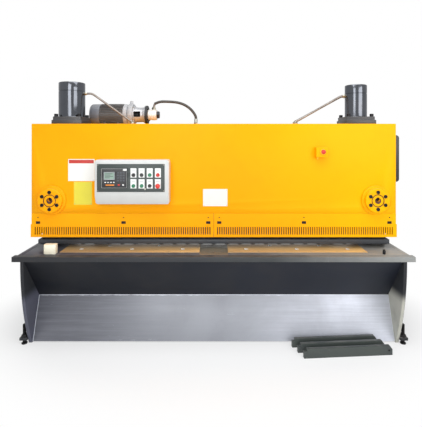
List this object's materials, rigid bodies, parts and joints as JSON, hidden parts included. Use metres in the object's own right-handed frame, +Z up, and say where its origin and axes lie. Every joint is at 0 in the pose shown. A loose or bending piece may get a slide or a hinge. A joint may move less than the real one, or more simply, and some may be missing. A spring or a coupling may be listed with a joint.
{
  "type": "hydraulic guillotine shear",
  "caption": "Hydraulic guillotine plate shear: side frames, table, finger guards, raked knife beam, press feet, deck cylinders, motor pump and control box.",
  "frame": {"origin": "middle of the footprint, on the floor", "axes": "+X to the operator's right along the table, +Y from the operator to the back, +Z up"},
  "size_m": [3.58, 1.642, 2.475],
  "materials": {
    "yellow_paint": "glossy orange-yellow enamel, dusty on top edges",
    "dark_paint": "dark grey enamel, scuffed on edges",
    "frame_paint": "dark grey enamel on flame-cut plate",
    "beam_paint": "mid grey enamel",
    "ground_steel": "ground steel, oiled",
    "kick_steel": "bright rolled sheet with long soft reflections",
    "knife_steel": "ground tool steel",
    "rod_chrome": "hard chrome, oiled",
    "feet_steel": "blackened steel",
    "centre_steel": "brown, lightly rusted steel",
    "cylinder_paint": "satin black-grey enamel on turned steel",
    "motor_paint": "blue-grey machinery paint",
    "bell_alloy": "raw cast aluminium",
    "pump_iron": "dark cast iron",
    "pipe_steel": "zinc-plated tube",
    "hose_rubber": "black rubber cover",
    "tank_paint": "dark grey enamel",
    "box_paint": "light grey textured powder coat",
    "panel_film": "dark matt film",
    "controller_case": "moulded case",
    "black_plastic": "moulded cap",
    "green_plastic": "moulded cap",
    "red_plastic": "moulded cap",
    "cabinet_paint": "black powder coat",
    "screw_steel": "zinc-plated screw",
    "block_paint": "cream enamel",
    "arm_paint": "dark grey-green enamel, scratched"
  },
  "bodies": {
    "machine": {"left_side_frame": "frame_paint", "right_side_frame": "frame_paint", "table": "dark_paint", "table_wings": "dark_paint", "front_bar": "dark_paint", "wear_plates": "ground_steel", "ball_units": "ground_steel", "centre_plate": "centre_steel", "lower_blade": "knife_steel", "lower_beam": "dark_paint", "apron": "dark_paint", "kick_panel": "kick_steel", "front_panel": "yellow_paint", "left_finger_guard": "yellow_paint", "right_finger_guard": "yellow_paint", "hold_down_beam": "beam_paint", "left_guide_housing": "yellow_paint", "right_guide_housing": "yellow_paint", "deck": "yellow_paint", "cylinder_bases": "cylinder_paint", "left_main_cylinder": "cylinder_paint", "right_main_cylinder": "cylinder_paint", "motor_fan_cover": "motor_paint", "motor_body": "motor_paint", "bell_housing": "bell_alloy", "pump": "pump_iron", "left_oil_pipe": "pipe_steel", "right_oil_pipes": "pipe_steel", "pressure_line": "hose_rubber", "line_fittings": "pipe_steel", "oil_tank": "tank_paint", "rear_tie": "frame_paint", "rear_chute": "dark_paint", "control_box": "box_paint", "operator_panel": "panel_film", "controller": "controller_case", "stop_box": "yellow_paint", "side_cabinet": "cabinet_paint", "foot_lugs": "frame_paint", "levelling_screws": "screw_steel", "stop_block": "block_paint", "stop_stud": "screw_steel", "support_arms": "arm_paint"},
    "upper_beam": {"blade_beam": "beam_paint", "upper_blade": "knife_steel", "piston_rods": "rod_chrome", "gauge_rails": "beam_paint", "gauge_screws": "screw_steel", "gauge_fence": "beam_paint"},
    "hold_downs": {"press_feet": "feet_steel"},
    "push_button_1": {"push_button_1": "black_plastic"},
    "push_button_2": {"push_button_2": "black_plastic"},
    "push_button_3": {"push_button_3": "green_plastic"},
    "push_button_4": {"push_button_4": "red_plastic"},
    "push_button_5": {"push_button_5": "green_plastic"},
    "push_button_6": {"push_button_6": "green_plastic"},
    "push_button_7": {"push_button_7": "black_plastic"},
    "mushroom_button": {"mushroom_button": "red_plastic"},
    "emergency_stop": {"emergency_stop": "red_plastic"}
  },
  "joints": [
    {"name": "beam_stroke", "type": "slide", "parent": "machine", "child": "upper_beam", "axis": [0, 0, 1], "range_m": [-0.135, 0]},
    {"name": "hold_down_stroke", "type": "slide", "parent": "machine", "child": "hold_downs", "axis": [0, 0, 1], "range_m": [-0.018, 0]},
    {"name": "push_button_1_press", "type": "slide", "parent": "machine", "child": "push_button_1", "axis": [0, 1, 0], "range_m": [0, 0.004], "stiffness_N_per_m": 600},
    {"name": "push_button_2_press", "type": "slide", "parent": "machine", "child": "push_button_2", "axis": [0, 1, 0], "range_m": [0, 0.004], "stiffness_N_per_m": 600},
    {"name": "push_button_3_press", "type": "slide", "parent": "machine", "child": "push_button_3", "axis": [0, 1, 0], "range_m": [0, 0.004], "stiffness_N_per_m": 600},
    {"name": "push_button_4_press", "type": "slide", "parent": "machine", "child": "push_button_4", "axis": [0, 1, 0], "range_m": [0, 0.004], "stiffness_N_per_m": 600},
    {"name": "push_button_5_press", "type": "slide", "parent": "machine", "child": "push_button_5", "axis": [0, 1, 0], "range_m": [0, 0.004], "stiffness_N_per_m": 600},
    {"name": "push_button_6_press", "type": "slide", "parent": "machine", "child": "push_button_6", "axis": [0, 1, 0], "range_m": [0, 0.004], "stiffness_N_per_m": 600},
    {"name": "push_button_7_press", "type": "slide", "parent": "machine", "child": "push_button_7", "axis": [0, 1, 0], "range_m": [0, 0.004], "stiffness_N_per_m": 600},
    {"name": "mushroom_button_press", "type": "slide", "parent": "machine", "child": "mushroom_button", "axis": [0, 1, 0], "range_m": [0, 0.007], "stiffness_N_per_m": 600},
    {"name": "emergency_stop_press", "type": "slide", "parent": "machine", "child": "emergency_stop", "axis": [0, 1, 0], "range_m": [0, 0.007], "stiffness_N_per_m": 600}
  ]
}
